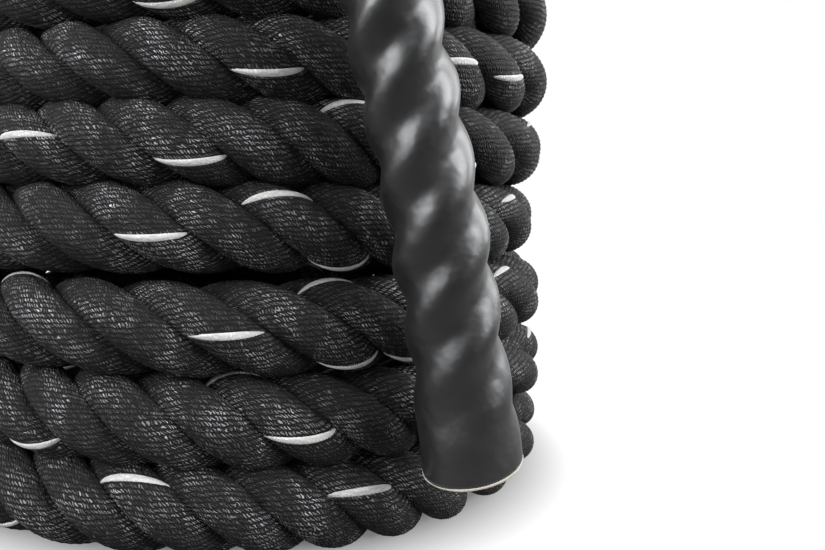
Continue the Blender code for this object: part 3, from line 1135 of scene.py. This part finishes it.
@dataclass
class LaidRope:
    """The whole rope: three strands of ridged yarns, and the white tracer yarns in them."""

    lay: Lay
    rings_per_lay: int = 40
    columns_per_yarn: int = 2
    ridge: float = 0.00034
    lay_stretch: float = 1.7
    lay_shift: tuple[float, float] = (0.5, 0.0)
    bake_row_length: float = 1.55
    bake_margin: float = 0.04
    tracer_width: float = 0.0016
    tracer_height: float = 0.0010
    tracer_sides: int = 10
    tracer_stations: int = 25
    tracer_plies: int = 2
    tracer_stretch: float = 1.9
    tracer_sunk: float = 0.0003
    tracer_dive: float = 0.0011
    tracer_dive_power: int = 3
    tracer_taper_power: float = 2.2
    tracer_tip: float = 0.01
    tracer_reach: float = 0.0112
    first_showing: float = 0.05

    def places(self) -> np.ndarray:
        """The stations of the rope's sections.

        Returns:
            Distances along the rope, from cut to cut.
        """
        recess = self.lay.route.cut_recess
        length = self.lay.route.length()
        count = round((length - 2 * recess) / self.lay.rope_lay * self.rings_per_lay)
        return np.linspace(recess, length - recess, count + 1)

    def build(self, finish: bpy.types.Material) -> bpy.types.Object:
        """Makes the strands as one piece.

        Args:
            finish: The black yarn's material.

        Returns:
            The rope.
        """
        places = self.places()
        sides = self.lay.yarns * self.columns_per_yarn
        columns = np.arange(sides) / self.columns_per_yarn
        crest = np.cos(math.tau * columns) / 2
        vertices, quads, caps, lays, bakes = [], [], [], [], []
        for index in range(STRANDS):
            middles, radial, sideways, scale = self.lay.strand(places, index)
            angle = self.lay.yarn_angle(places, columns)
            radius = (self.lay.strand_radius + self.ridge * crest)[None, :] * scale[:, None]
            ring = middles[:, None, :] + (radius * np.cos(angle))[..., None] * radial[:, None, :]
            wide = radius * np.sin(angle) * self.lay.strand_width
            ring = ring + wide[..., None] * sideways[:, None, :]
            first = index * len(places) * sides
            vertices.append(ring.reshape(-1, 3))
            quads.append(ring_quads(len(places), sides, first))
            caps.extend(tube_caps(len(places), sides, first))
            lays.append(self.lay_map(places, sides))
            bakes.append(self.bake_map(places, sides, index))
        uv = {LAY_MAP: np.concatenate(lays), BAKE_MAP: np.concatenate(bakes)}
        return mesh_object(
            "laid_rope", np.concatenate(vertices), np.concatenate(quads), finish, uv, caps
        )

    def lay_map(self, places: np.ndarray, sides: int) -> np.ndarray:
        """The yarn number across and the length along, at each quad corner.

        Args:
            places: The stations of the strand's sections.
            sides: How many vertices each section has.

        Returns:
            One row for each quad corner.
        """
        ring, side = tube_grid(len(places), sides)
        low, high = side / self.columns_per_yarn, (side + 1) / self.columns_per_yarn
        near, far = places[ring] * self.lay_stretch, places[ring + 1] * self.lay_stretch
        rows = corner_rows((low, near), (high, near), (high, far), (low, far))
        return rows + np.array(self.lay_shift)

    def bake_map(self, places: np.ndarray, sides: int, index: int) -> np.ndarray:
        """The strand's skin laid flat in rows beside those of the others.

        Args:
            places: The stations of the strand's sections.
            sides: How many vertices each section has.
            index: Which strand, from 0.

        Returns:
            One row for each quad corner.
        """
        per_row = int(self.bake_row_length / (places[1] - places[0]))
        rows_each = math.ceil((len(places) - 1) / per_row)
        total = rows_each * STRANDS
        ring, side = tube_grid(len(places), sides)
        row = ring // per_row + index * rows_each + self.bake_margin
        left = (ring % per_row) / per_row
        right = left + 1 / per_row
        filled = 1 - 2 * self.bake_margin
        low = (row + filled * side / sides) / total
        high = (row + filled * (side + 1) / sides) / total
        return corner_rows((left, low), (left, high), (right, high), (right, low))

    def showings(self) -> list[tuple[float, int]]:
        """Where the white yarn comes to the outside, clear of the sleeves.

        Returns:
            The place along the rope, and the strand, of each showing.
        """
        route = self.lay.route
        azimuths = route.azimuths()
        found = []
        for turn, azimuth, angle in TRACER_SHOWS:
            place = float(np.interp(CIRCLE * turn + azimuth, azimuths, route.along))
            ahead = (-math.radians(angle) - float(self.lay.phase(np.array([place]))[0])) / math.tau
            strand = round(ahead * STRANDS)
            place += (ahead - strand / STRANDS) * self.lay.rope_lay
            found.append((place, strand % STRANDS))
        spacing = self.lay.rope_lay / abs(self.lay.yarn_turns)
        for place in np.arange(self.first_showing, route.length() - self.first_showing, spacing):
            azimuth = float(np.interp(place, route.along, azimuths))
            turn = math.floor((azimuth + CIRCLE / 2) / CIRCLE)
            front = FRONT_SECTOR[0] < azimuth - CIRCLE * turn < FRONT_SECTOR[1]
            if not (front and 0 <= turn < FRONT_TURNS):
                found.append((float(place), 0))
        clear = SLEEVE_LENGTH + self.tracer_reach
        return [showing for showing in found if route.to_end(showing[0]) > clear]

    def tracer_rings(self, places: np.ndarray, along: np.ndarray, strand: int) -> np.ndarray:
        """The sections of one showing, which dives into its strand at both ends.

        Args:
            places: Distances along the rope.
            along: The same places, from -1 at one end to 1 at the other.
            strand: Which strand it shows on, from 0.

        Returns:
            A ring of points for each place.
        """
        turn = np.arange(self.tracer_sides) / self.tracer_sides * math.tau
        middles, radial, sideways, scale = self.lay.strand(places, strand)
        phase = self.lay.phase(places)
        angle = self.lay.yarn_turns * (phase - phase[len(phase) // 2])
        dive = self.tracer_dive * abs(along) ** self.tracer_dive_power
        reach = (self.lay.strand_radius - self.tracer_sunk - dive) * scale
        out = np.cos(angle)[:, None] * radial
        out = out + (np.sin(angle) * self.lay.strand_width)[:, None] * sideways
        centres = middles + reach[:, None] * out
        running = unit(np.gradient(centres, axis=0))
        out = unit(out - np.sum(out * running, axis=1)[:, None] * running)
        across = np.cross(running, out)
        swell = 1 + self.tracer_tip - abs(along) ** self.tracer_taper_power
        high = self.tracer_height * np.cos(turn)[None, :, None] * out[:, None, :]
        wide = self.tracer_width * np.sin(turn)[None, :, None] * across[:, None, :]
        return centres[:, None, :] + scale[:, None, None] * (high + swell[:, None, None] * wide)

    def build_tracer(self, finish: bpy.types.Material) -> bpy.types.Object:
        """Makes the white yarn, wherever its strand brings it to the outside.

        Args:
            finish: The white yarn's material.

        Returns:
            The tracer yarn.
        """
        sides, count = self.tracer_sides, self.tracer_stations
        along = np.linspace(-1, 1, count)
        station, side = tube_grid(count, sides)
        low, high = side / sides * self.tracer_plies, (side + 1) / sides * self.tracer_plies
        vertices, quads, caps, lays = [], [], [], []
        for number, (middle, strand) in enumerate(self.showings()):
            places = middle + along * self.tracer_reach
            first = number * count * sides
            vertices.append(self.tracer_rings(places, along, strand).reshape(-1, 3))
            quads.append(ring_quads(count, sides, first))
            caps.extend(tube_caps(count, sides, first))
            stretched = places * self.tracer_stretch
            near, far = stretched[station], stretched[station + 1]
            lays.append(corner_rows((low, near), (high, near), (high, far), (low, far)))
        uv = {LAY_MAP: np.concatenate(lays)}
        return mesh_object(
            "tracer_yarn", np.concatenate(vertices), np.concatenate(quads), finish, uv, caps
        )


@dataclass
class GripSleeve:
    """The film shrunk over one end of the rope, moulded by the strands under it.

    Each of crease_waves is radians a metre, waves round, start and share, and each of
    edge_waves is waves round, start and share.
    """

    lay: Lay
    end: End
    bore: float = 0.0147
    wall: float = 0.0010
    bulge: float = 0.0032
    bulge_power: float = 0.85
    rim_radius: float = 0.0194
    flare_length: float = 0.054
    ring_step: float = 0.002
    sides: int = 72
    crease: float = 0.00022
    crease_waves: tuple[tuple[float, ...], ...] = ((97, 2, 0.8, 1.0), (151, -1, 0.0, 0.6))
    rim_calm: float = 0.6
    rim_recess: float = 0.0015
    lip_rounding: float = 0.25
    cut_slant: float = 0.0030
    slant_length: float = 0.03
    edge_sides: int = 144
    edge_section: int = 8
    edge_width: float = 0.56
    edge_height: float = 0.00045
    edge_mean: float = 1.4
    edge_waves: tuple[tuple[float, ...], ...] = ((3, 1, 0.25), (7, 0, 0.15))
    edge_lean: float = 0.8

    def way(self) -> float:
        """Which way along the rope the rim lies: 1 at the top end, and -1 at the bottom end."""
        return 1.0 if self.end is End.TOP else -1.0

    def places(self) -> np.ndarray:
        """The stations of the sleeve's sections, from its mouth to its rim.

        Returns:
            Distances along the rope.
        """
        rings = round(SLEEVE_LENGTH / self.ring_step) + 1
        to_rim = np.linspace(SLEEVE_LENGTH, self.rim_recess, rings)
        if self.end is End.TOP:
            return self.lay.route.length() - to_rim
        return to_rim

    def outside(self, places: np.ndarray, angles: np.ndarray) -> np.ndarray:
        """The radius of the sleeve's outside.

        Args:
            places: Distances along the rope, one for each row.
            angles: Angles round the rope from outward, one for each column.

        Returns:
            The radii, with a row for each place and a column for each angle.
        """
        to_rim = self.lay.route.to_end(places)
        from_crown = angles[None, :] - self.lay.phase(places)[:, None]
        crown = ((1 + np.cos(STRANDS * from_crown)) / 2) ** self.bulge_power
        over = self.bore + self.wall + self.bulge * crown
        flare = (1 - eased(0, self.flare_length, to_rim))[:, None]
        radius = over + flare * (self.rim_radius - over)
        creases = sum(
            share * np.sin((places * pace)[:, None] + turns * angles[None, :] + start)
            for pace, turns, start, share in self.crease_waves
        )
        return radius + self.crease * creases * (1 - self.rim_calm * flare)

    def slanted(self, places: np.ndarray, spokes: np.ndarray) -> np.ndarray:
        """How far the sleeve's sections lean, so that the film is cut a little askew.

        Args:
            places: Distances along the rope, one for each row.
            spokes: The directions out from the rope's centre at each place.

        Returns:
            A shift for each place and spoke.
        """
        directions = self.lay.route.sample(places)[1]
        near_rim = 1 - eased(0, self.slant_length, self.lay.route.to_end(places))
        lean = -self.way() * self.cut_slant * near_rim[:, None] * spokes[..., 0]
        return lean[..., None] * directions[:, None, :]

    def build(self, finish: bpy.types.Material) -> bpy.types.Object:
        """Makes the sleeve with its wall.

        Args:
            finish: The film's material.

        Returns:
            The sleeve.
        """
        places = self.places()
        angles = np.arange(self.sides) / self.sides * math.tau
        centres, _, outwards, across = self.lay.route.sample(places)
        spokes = (
            np.cos(angles)[None, :, None] * outwards[:, None, :]
            + np.sin(angles)[None, :, None] * across[:, None, :]
        )
        outer = self.outside(places, angles)
        slanted = self.slanted(places, spokes)
        lips = (0, len(places) - 1)
        skins = ((range(len(places)), 0.0), (range(len(places) - 1, -1, -1), self.wall))
        rings = []
        for order, depth in skins:
            for i in order:
                lip = self.lip_rounding * self.wall if depth == 0 and i in lips else 0.0
                ring = centres[i][None, :] + (outer[i] - depth - lip)[:, None] * spokes[i]
                rings.append(ring + slanted[i])
        quads = closed_quads(len(rings), self.sides)
        name = f"shrink_sleeve_{self.end.value}"
        shape = mesh_object(name, np.concatenate(rings), quads, finish)
        if self.end is End.BOTTOM:
            shape.data.flip_normals()
        return shape

    def build_cut_edge(self, finish: bpy.types.Material) -> bpy.types.Object:
        """Makes the thin pale ring round the rim, where the film was cut.

        Args:
            finish: The cut film's material.

        Returns:
            finish: The pale ring's material.
        """
        place = self.places()[-1:]
        centres, directions, outwards, across = self.lay.route.sample(place)
        angles = np.arange(self.edge_sides) / self.edge_sides * math.tau
        outer = self.outside(place, angles)[0]
        spokes = np.cos(angles)[:, None] * outwards + np.sin(angles)[:, None] * across
        turn = np.arange(self.edge_section) / self.edge_section * math.tau
        middle = outer - self.wall / 2
        uneven = np.full(self.edge_sides, self.edge_mean)
        for turns, start, share in self.edge_waves:
            uneven = uneven + share * np.sin(angles * turns + start)
        uneven = uneven + self.edge_lean * spokes[:, 0]
        reach = middle[:, None] + self.wall * self.edge_width * np.cos(turn)[None, :]
        lift = self.way() * (self.edge_height * uneven[:, None] * np.sin(turn)[None, :])
        vertices = centres[0] + reach[..., None] * spokes[:, None, :]
        vertices = vertices + lift[..., None] * directions[0]
        vertices = vertices + self.slanted(place, spokes[None])[0][:, None, :]
        quads = closed_quads(self.edge_sides, self.edge_section)
        name = f"sleeve_cut_edge_{self.end.value}"
        return mesh_object(name, vertices.reshape(-1, 3), quads, finish)


@dataclass(frozen=True)
class SoftBox:
    """A rectangular soft light that faces the coil."""

    name: str
    place: Triple
    size: tuple[float, float]
    watts: float

    def build(self, aim: Triple) -> None:
        """Hangs the soft box.

        Args:
            aim: The point that it faces.
        """
        data = bpy.data.lights.new(self.name, "AREA")
        data.shape = "RECTANGLE"
        data.size, data.size_y = self.size
        data.energy = self.watts
        light = bpy.data.objects.new(self.name, data)
        light.location = self.place
        direction = Vector(aim) - Vector(self.place)
        light.rotation_euler = direction.to_track_quat("-Z", "Y").to_euler()
        bpy.context.scene.collection.objects.link(light)


SOFT_BOXES = (
    SoftBox("left_box", (-1.4, -0.75, 0.95), (1.25, 1.4), 42),
    SoftBox("right_box", (1.4, -1.05, 1.15), (1.05, 1.2), 42),
    SoftBox("edge_box", (1.5, 0.15, 0.7), (0.8, 0.9), 11),
    SoftBox("front_box", (-0.25, -1.9, 1.4), (0.4, 0.4), 4),
    SoftBox("top_box", (-0.7, 1.1, 1.3), (0.8, 0.8), 13),
)


@dataclass
class Studio:
    """The pale floor, the plain lights and the camera.

    A glow of four numbers is a ramp: where it starts and stops, and how strong it is there.
    """

    axis: tuple[float, float]
    distance: float = 0.4925
    height: float = 0.162
    sensor: float = 36
    focal_share: float = 766 / 825
    shift: tuple[float, float] = (0.239, -0.133)
    nearest: float = 0.01
    floor_size: float = 6.0
    floor_middle: float = 1.0
    floor_near: float = 0.32
    floor_steps: int = 161
    floor_tone: float = 0.3
    looked_at_tone: float = 0.06
    resting_below: float = 0.05
    resting_every: int = 5
    shadow_reach: float = 0.0375
    shadow_width: float = 0.0495
    floor_glow: tuple[float, ...] = (-0.6, 0.4, 0.0, 0.6)
    side_glow: tuple[float, ...] = (0.45, 0.9, 0.0, 0.6)
    back_glow: tuple[float, ...] = (-0.5, 0.5, 0.04, 0.75)
    dim_glow: float = 0.16
    lit_point: Triple = (0.0, 0.0, 0.2)

    def build_camera(self) -> None:
        """Sets the camera where the photograph was taken from."""
        data = bpy.data.cameras.new("camera")
        data.sensor_fit = "HORIZONTAL"
        data.sensor_width = self.sensor
        data.lens = self.sensor * self.focal_share
        data.shift_x, data.shift_y = self.shift
        data.clip_start = self.nearest
        camera = bpy.data.objects.new("camera", data)
        camera.location = (self.axis[0], self.axis[1] - self.distance, self.height)
        camera.rotation_euler = (math.pi / 2, 0, 0)
        bpy.context.scene.collection.objects.link(camera)
        bpy.context.scene.camera = camera

    def painted_floor_shadow(self, spots: np.ndarray, route: Route) -> np.ndarray:
        """How brightly the floor shows: a painted shadow, dark beside and inside the rope that
        rests on it.

        Args:
            spots: Places on the floor, one row each.
            route: The rope's route.

        Returns:
            A share for each spot, 1 where the rope is far off.
        """
        lying = (route.points[:, 2] < self.resting_below) & (route.along < route.coil_span[1])
        resting = route.points[lying][:: self.resting_every, :2]
        clear = np.array([np.hypot(*(resting - spot).T).min() for spot in spots])
        from_axis = np.hypot(*(spots - np.array(self.axis)).T)
        clear = np.where(from_axis < route.radius, -clear, clear)
        return 1 - np.clip((self.shadow_reach - clear) / self.shadow_width, 0, 1)

    def directly_seen(self, graph: Graph) -> tuple[bpy.types.NodeSocket, bpy.types.Node]:
        """Whether a ray comes from the eye, straight or through glass.

        Args:
            graph: The nodes to add it to.

        Returns:
            The answer, 0 or 1, and the Light Path node.
        """
        path = graph.add("ShaderNodeLightPath")
        straight, through = path.outputs["Is Camera Ray"], path.outputs["Is Transmission Ray"]
        return graph.math("MAXIMUM", straight, through), path

    def floor_material(self) -> bpy.types.Material:
        """White to the eye, but for the rope's shadow, painted into its glow, and dim to the rope.

        Returns:
            The floor's material.
        """
        material, graph = new_material("floor_white")
        seen, path = self.directly_seen(graph)
        glossy = path.outputs["Is Glossy Ray"]
        spot = graph.add("ShaderNodeNewGeometry").outputs["Position"]
        _, back, _ = graph.add("ShaderNodeSeparateXYZ", {0: spot}).outputs
        shone = graph.math("MULTIPLY", glossy, graph.ramp(back, *self.floor_glow))
        seen = graph.math("MAXIMUM", seen, shone)
        looked_at = graph.math("MAXIMUM", glossy, path.outputs["Is Camera Ray"])
        tones = (opaque((tone,) * 3) for tone in (self.floor_tone, self.looked_at_tone))
        matt = graph.add("ShaderNodeBsdfDiffuse", {"Color": graph.mix(looked_at, *tones)})
        # The glow attribute is a painted shadow round the rope that rests on the floor.
        level = graph.add("ShaderNodeAttribute", attribute_name="glow").outputs["Fac"]
        strength = graph.math("MULTIPLY", seen, level)
        glow = graph.add("ShaderNodeEmission", {"Color": (1, 1, 1, 1), "Strength": strength})
        both = graph.add("ShaderNodeAddShader", {0: matt.outputs[0], 1: glow.outputs[0]})
        graph.add("ShaderNodeOutputMaterial", {"Surface": both.outputs[0]})
        return material

    def build_floor(self, route: Route) -> None:
        """Lays a wide pale floor with the rope's shadow painted into its glow.

        Args:
            route: The rope's route.
        """
        near = np.linspace(-self.floor_near, self.floor_near, self.floor_steps)
        size, middle = self.floor_size, self.floor_middle
        lines = np.concatenate([[-size, -middle], near, [middle, size]])
        spots = np.array([(x, y) for y in lines for x in lines])
        count = len(lines)
        firsts = [row * count + column for row in range(count - 1) for column in range(count - 1)]
        quads = [(first, first + 1, first + count + 1, first + count) for first in firsts]
        mesh = bpy.data.meshes.new("floor")
        mesh.from_pydata(np.column_stack([spots, np.zeros(len(spots))]).tolist(), [], quads)
        glow = mesh.attributes.new("glow", "FLOAT", "POINT")
        # Painted shadow: the floor's glow is dimmed near the resting rope.
        glow.data.foreach_set("value", self.painted_floor_shadow(spots, route).astype(np.float32))
        mesh.materials.append(self.floor_material())
        floor = bpy.data.objects.new("floor", mesh)
        bpy.context.scene.collection.objects.link(floor)

    def build_world(self) -> None:
        """Makes the surroundings white to the eye and plain grey to the rope."""
        world = bpy.data.worlds.new("studio")
        bpy.context.scene.world = world
        world.use_nodes = True
        graph = Graph(world.node_tree)
        seen, path = self.directly_seen(graph)
        glossy = path.outputs["Is Glossy Ray"]
        towards = graph.add("ShaderNodeTexCoord").outputs["Generated"]
        across, back, _ = graph.add("ShaderNodeSeparateXYZ", {0: towards}).outputs
        sides = graph.ramp(graph.math("ABSOLUTE", across), *self.side_glow)
        behind = graph.ramp(back, *self.back_glow)
        shone = graph.math("MULTIPLY", glossy, graph.math("MAXIMUM", sides, behind))
        dim = graph.math("MULTIPLY", graph.math("SUBTRACT", 1, glossy), self.dim_glow)
        level = graph.math("MAXIMUM", graph.math("MAXIMUM", seen, shone), dim)
        sky = graph.add("ShaderNodeBackground", {"Color": (1, 1, 1, 1), "Strength": level})
        graph.add("ShaderNodeOutputWorld", {"Surface": sky.outputs[0]})

    def build(self, route: Route) -> None:
        """Builds the floor, the world and the lights.

        Args:
            route: The rope's route.
        """
        self.build_floor(route)
        self.build_world()
        for box in SOFT_BOXES:
            box.build(self.lit_point)
        bpy.context.scene.view_settings.view_transform = "Standard"


def settle(shape: bpy.types.Object, slot: Slot, *nodes: str) -> bpy.types.Object:
    """Puts a piece on the rope's body.

    Args:
        shape: The piece.
        slot: Its material slot in the record; not used.
        nodes: The names of the nodes that it stands for.

    Returns:
        The piece.
    """
    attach(shape, "root")
    if nodes:
        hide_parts(*nodes)
    LOG.info("%s: %d faces", shape.name, len(shape.data.polygons))
    return shape


def bind(end: End, finish: bpy.types.Material) -> bpy.types.Object:
    """Dresses the tape that the solids have round one cut.

    Args:
        end: Which end of the rope.
        finish: The tape's material.

    Returns:
        The tape.
    """
    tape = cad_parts[f"end_binding_{end.value}"]
    if not tape.material_slots:
        tape.data.materials.append(finish)
    for slot in tape.material_slots:
        slot.material = finish
    LOG.info("%s: dressed in %s", tape.name, finish.name)
    return tape


def main() -> None:
    """Builds the rope, its grips and the studio."""
    logging.basicConfig(level=logging.INFO, format="%(name)s: %(message)s")
    low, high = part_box("rope_coil")
    axis = ((low.x + high.x) / 2, (low.y + high.y) / 2)
    studio = Studio(axis)
    studio.build_camera()
    route = Route(axis)
    lay = Lay(route)
    LOG.info("rope length %.4f m", route.length())

    effects = SharedEffects()
    finishes = (BLACK_YARN, WHITE_YARN, SHRINK_FILM, PALE_RIM, CLOTH_TAPE)
    black, white, film, pale_rim, cloth = (finish.build(effects) for finish in finishes)

    laid = LaidRope(lay)
    rope = settle(laid.build(black), Slot.ROPE, "rope_coil", "rope_top_end", "rope_bottom_end")
    tracer = settle(laid.build_tracer(white), Slot.ROPE)
    for end in End:
        grip = GripSleeve(lay, end)
        settle(grip.build(film), Slot.SLEEVE, f"grip_sleeve_{end.value}")
        settle(grip.build_cut_edge(pale_rim), Slot.SLEEVE)
    bindings = [bind(end, cloth) for end in End]
    studio.build(route)


if __name__ == "__main__":
    main()
